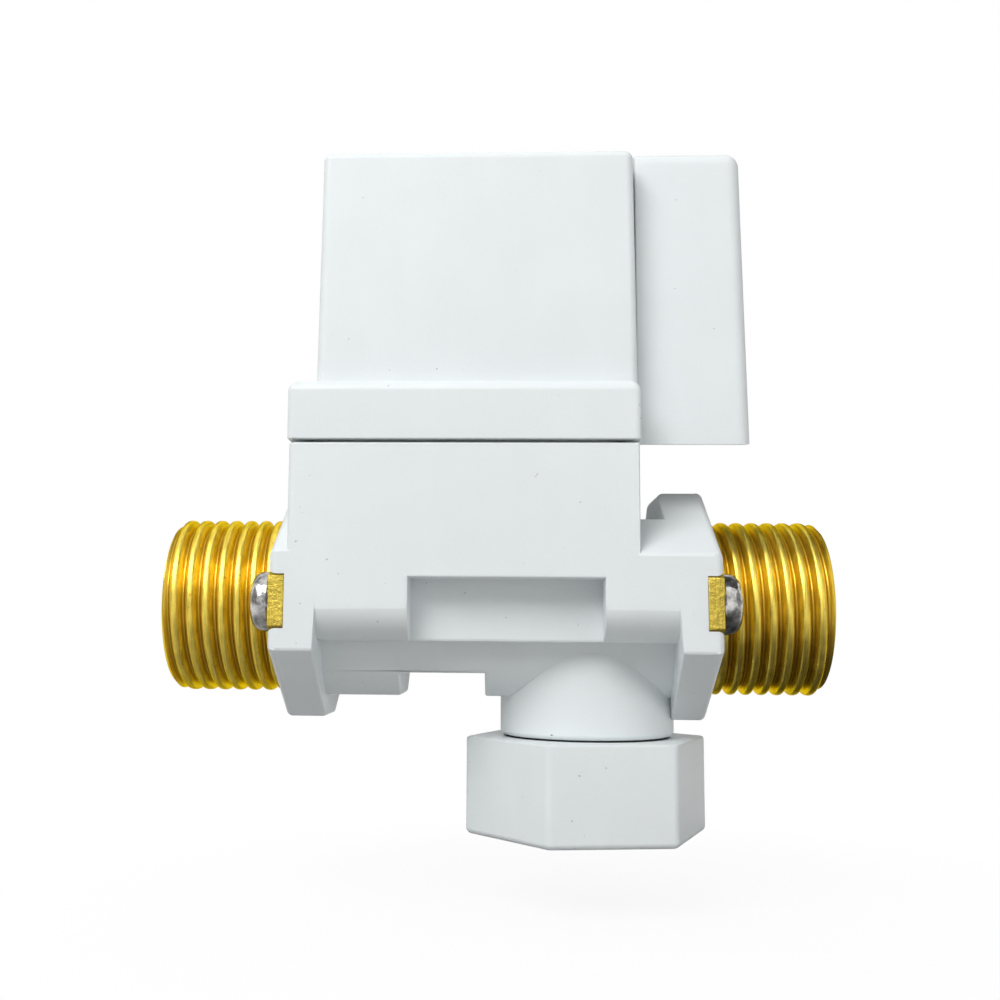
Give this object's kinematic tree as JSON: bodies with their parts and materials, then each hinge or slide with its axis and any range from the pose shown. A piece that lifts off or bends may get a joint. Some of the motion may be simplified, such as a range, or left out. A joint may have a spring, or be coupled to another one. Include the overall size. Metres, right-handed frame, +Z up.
{
  "type": "solar water heater solenoid valve",
  "caption": "Plastic solenoid water valve with a coil box on top, brass threaded ports left and right, and a hexagonal strainer cap below.",
  "frame": {"origin": "centre of the inlet port's face, on the pipe axis", "axes": "+X out of the inlet along the pipe axis, +Z up towards the coil, +Y to the back"},
  "size_m": [0.076, 0.0346, 0.0787],
  "materials": {
    "white_plastic": "moulded, fine satin",
    "brass": "machined and as cast",
    "screw_steel": "nickel plated",
    "black_rubber": "dull",
    "steel_strip": "zinc plated",
    "magnet_iron": "turned, stainless",
    "copper_wire": "enamelled wire",
    "bobbin_nylon": "moulded",
    "screen_nylon": "moulded mesh"
  },
  "bodies": {
    "valve": {"valve_body": "white_plastic", "inlet_nipple": "brass", "outlet_nipple": "brass", "inlet_gasket": "black_rubber", "outlet_gasket": "black_rubber", "inlet_screws": "screw_steel", "outlet_screws": "screw_steel", "diaphragm": "black_rubber", "bonnet": "white_plastic", "bonnet_screws": "screw_steel", "core_tube": "magnet_iron", "core_tube_seal": "black_rubber", "fixed_core": "magnet_iron", "plunger_spring": "screw_steel", "coil_bobbin": "bobbin_nylon", "coil_winding": "copper_wire", "coil_yoke": "steel_strip", "yoke_washer": "screw_steel", "yoke_nut": "screw_steel", "coil_terminals": "screw_steel", "coil_cover": "white_plastic"},
    "plunger": {"plunger": "magnet_iron", "plunger_seal": "black_rubber"},
    "diaphragm_insert": {"diaphragm_insert": "white_plastic"},
    "strainer": {"strainer_screen": "screen_nylon"},
    "strainer_cap": {"strainer_cap": "white_plastic", "cap_seal": "black_rubber"},
    "terminal_cover": {"terminal_cover": "white_plastic"}
  },
  "joints": [
    {"name": "plunger_lift", "type": "slide", "parent": "valve", "child": "plunger", "axis": [0, 0, 1], "range_m": [0, 0.0025], "stiffness_N_per_m": 150, "springref_m": -0.006, "deforming": ["plunger_spring"]},
    {"name": "diaphragm_lift", "type": "slide", "parent": "valve", "child": "diaphragm_insert", "axis": [0, 0, 1], "range_m": [0, 0.002], "deforming": ["diaphragm"]},
    {"name": "strainer_travel", "type": "slide", "parent": "valve", "child": "strainer", "axis": [0, 0, -1], "range_m": [0, 0.008]},
    {"name": "cap_turn", "type": "hinge", "parent": "strainer", "child": "strainer_cap", "pos_m": [-0.0271, 0, -0.02], "axis": [0, 0, -1], "range_deg": [0, 1440]},
    {"name": "terminal_cover_pull", "type": "slide", "parent": "valve", "child": "terminal_cover", "axis": [1, 0, 0], "range_m": [0, 0.014]}
  ],
  "couplings": [
    {"joint": "diaphragm_lift", "follows": "plunger_lift", "ratio": 0.8},
    {"joint": "cap_turn", "follows": "strainer_travel", "rad_per_m": 3141.6}
  ]
}
